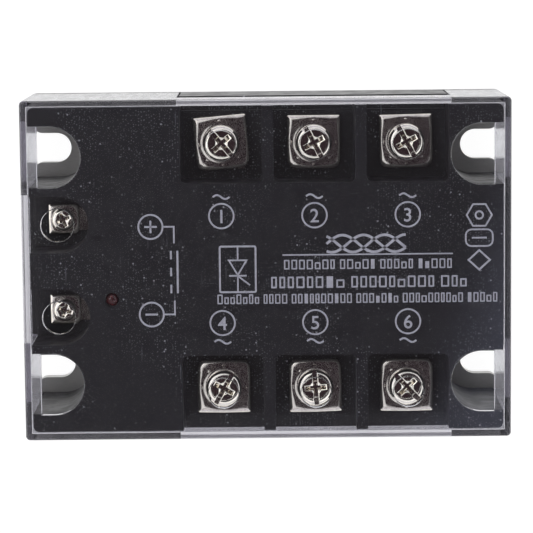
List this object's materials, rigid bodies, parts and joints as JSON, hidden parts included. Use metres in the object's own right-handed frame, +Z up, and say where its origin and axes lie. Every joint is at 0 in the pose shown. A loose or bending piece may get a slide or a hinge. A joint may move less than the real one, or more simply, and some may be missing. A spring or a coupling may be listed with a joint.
{
  "type": "solid state relay",
  "caption": "Three-phase solid state relay: black moulded block on an aluminium base plate, screw clamp terminals in open bays and a clear push-fit cover.",
  "frame": {"origin": "centre of the base plate's underside", "axes": "+Z up out of the clear cover, +X along the length away from the input terminals, +Y towards power terminals 1 to 3"},
  "size_m": [0.105, 0.0734, 0.032],
  "materials": {
    "base_metal": "machined satin",
    "black_plastic": "moulded, semi-gloss",
    "clear_plastic": "clear, glossy",
    "potting": "cast silicone gel",
    "ceramic": "fired ceramic",
    "silicon": "passivated silicon",
    "component_body": "moulded epoxy",
    "capacitor_film": "boxed film",
    "resistor_body": "lacquered",
    "circuit_board": "solder mask",
    "red_lens": "tinted lens",
    "bus_bar": "tin plated",
    "copper": "bare copper",
    "nut_steel": "zinc plated",
    "plated_metal": "bright nickel plated"
  },
  "bodies": {
    "base": {"base_plate": "base_metal", "housing": "black_plastic", "potting_compound": "potting", "ceramic_substrate_1": "ceramic", "optocoupler_1": "component_body", "snubber_capacitor_1": "capacitor_film", "snubber_resistor_1": "resistor_body", "ceramic_substrate_2": "ceramic", "optocoupler_2": "component_body", "snubber_capacitor_2": "capacitor_film", "snubber_resistor_2": "resistor_body", "ceramic_substrate_3": "ceramic", "optocoupler_3": "component_body", "snubber_capacitor_3": "capacitor_film", "snubber_resistor_3": "resistor_body", "thyristor_1": "silicon", "power_terminal_1": "bus_bar", "thyristor_2": "silicon", "power_terminal_2": "bus_bar", "thyristor_3": "silicon", "power_terminal_3": "bus_bar", "thyristor_4": "silicon", "power_terminal_4": "bus_bar", "thyristor_5": "silicon", "power_terminal_5": "bus_bar", "thyristor_6": "silicon", "power_terminal_6": "bus_bar", "thyristor_straps": "copper", "gate_leads": "copper", "control_board": "circuit_board", "driver_transistor": "component_body", "polarity_diode": "component_body", "limit_resistors": "resistor_body", "status_led": "red_lens", "power_nuts": "nut_steel", "input_nuts": "nut_steel", "input_terminal_plus": "bus_bar", "input_terminal_minus": "bus_bar"},
    "cover": {"cover": "clear_plastic"},
    "power_clamp_1": {"power_clamp_1": "plated_metal"},
    "power_screw_1": {"power_screw_1": "plated_metal"},
    "power_clamp_2": {"power_clamp_2": "plated_metal"},
    "power_screw_2": {"power_screw_2": "plated_metal"},
    "power_clamp_3": {"power_clamp_3": "plated_metal"},
    "power_screw_3": {"power_screw_3": "plated_metal"},
    "power_clamp_4": {"power_clamp_4": "plated_metal"},
    "power_screw_4": {"power_screw_4": "plated_metal"},
    "power_clamp_5": {"power_clamp_5": "plated_metal"},
    "power_screw_5": {"power_screw_5": "plated_metal"},
    "power_clamp_6": {"power_clamp_6": "plated_metal"},
    "power_screw_6": {"power_screw_6": "plated_metal"},
    "input_clamp_plus": {"input_clamp_plus": "plated_metal"},
    "input_screw_plus": {"input_screw_plus": "plated_metal"},
    "input_clamp_minus": {"input_clamp_minus": "plated_metal"},
    "input_screw_minus": {"input_screw_minus": "plated_metal"}
  },
  "joints": [
    {"name": "cover_lift", "type": "slide", "parent": "base", "child": "cover", "axis": [0, 0, 1], "range_m": [0, 0.04]},
    {"name": "power_clamp_lift_1", "type": "slide", "parent": "base", "child": "power_clamp_1", "axis": [0, 0, 1], "range_m": [0, 0.00332]},
    {"name": "power_screw_turn_1", "type": "hinge", "parent": "power_clamp_1", "child": "power_screw_1", "pos_m": [-0.0096, 0.0268, 0.0236], "axis": [0, 0, 1], "range_deg": [0, 1711]},
    {"name": "power_clamp_lift_2", "type": "slide", "parent": "base", "child": "power_clamp_2", "axis": [0, 0, 1], "range_m": [0, 0.00332]},
    {"name": "power_screw_turn_2", "type": "hinge", "parent": "power_clamp_2", "child": "power_screw_2", "pos_m": [0.0104, 0.0268, 0.0236], "axis": [0, 0, 1], "range_deg": [0, 1711]},
    {"name": "power_clamp_lift_3", "type": "slide", "parent": "base", "child": "power_clamp_3", "axis": [0, 0, 1], "range_m": [0, 0.00332]},
    {"name": "power_screw_turn_3", "type": "hinge", "parent": "power_clamp_3", "child": "power_screw_3", "pos_m": [0.0304, 0.0268, 0.0236], "axis": [0, 0, 1], "range_deg": [0, 1711]},
    {"name": "power_clamp_lift_4", "type": "slide", "parent": "base", "child": "power_clamp_4", "axis": [0, 0, 1], "range_m": [0, 0.00332]},
    {"name": "power_screw_turn_4", "type": "hinge", "parent": "power_clamp_4", "child": "power_screw_4", "pos_m": [-0.0096, -0.0268, 0.0236], "axis": [0, 0, 1], "range_deg": [0, 1711]},
    {"name": "power_clamp_lift_5", "type": "slide", "parent": "base", "child": "power_clamp_5", "axis": [0, 0, 1], "range_m": [0, 0.00332]},
    {"name": "power_screw_turn_5", "type": "hinge", "parent": "power_clamp_5", "child": "power_screw_5", "pos_m": [0.0104, -0.0268, 0.0236], "axis": [0, 0, 1], "range_deg": [0, 1711]},
    {"name": "power_clamp_lift_6", "type": "slide", "parent": "base", "child": "power_clamp_6", "axis": [0, 0, 1], "range_m": [0, 0.00332]},
    {"name": "power_screw_turn_6", "type": "hinge", "parent": "power_clamp_6", "child": "power_screw_6", "pos_m": [0.0304, -0.0268, 0.0236], "axis": [0, 0, 1], "range_deg": [0, 1711]},
    {"name": "input_clamp_lift_plus", "type": "slide", "parent": "base", "child": "input_clamp_plus", "axis": [0, 0, 1], "range_m": [0, 0.00237]},
    {"name": "input_screw_turn_plus", "type": "hinge", "parent": "input_clamp_plus", "child": "input_screw_plus", "pos_m": [-0.0444, 0.01, 0.0186], "axis": [0, 0, 1], "range_deg": [0, 1711]},
    {"name": "input_clamp_lift_minus", "type": "slide", "parent": "base", "child": "input_clamp_minus", "axis": [0, 0, 1], "range_m": [0, 0.00237]},
    {"name": "input_screw_turn_minus", "type": "hinge", "parent": "input_clamp_minus", "child": "input_screw_minus", "pos_m": [-0.0444, -0.01, 0.0186], "axis": [0, 0, 1], "range_deg": [0, 1711]}
  ],
  "couplings": [
    {"joint": "power_screw_turn_1", "follows": "power_clamp_lift_1", "rad_per_m": 8976},
    {"joint": "power_screw_turn_2", "follows": "power_clamp_lift_2", "rad_per_m": 8976},
    {"joint": "power_screw_turn_3", "follows": "power_clamp_lift_3", "rad_per_m": 8976},
    {"joint": "power_screw_turn_4", "follows": "power_clamp_lift_4", "rad_per_m": 8976},
    {"joint": "power_screw_turn_5", "follows": "power_clamp_lift_5", "rad_per_m": 8976},
    {"joint": "power_screw_turn_6", "follows": "power_clamp_lift_6", "rad_per_m": 8976},
    {"joint": "input_screw_turn_plus", "follows": "input_clamp_lift_plus", "rad_per_m": 12566},
    {"joint": "input_screw_turn_minus", "follows": "input_clamp_lift_minus", "rad_per_m": 12566}
  ]
}
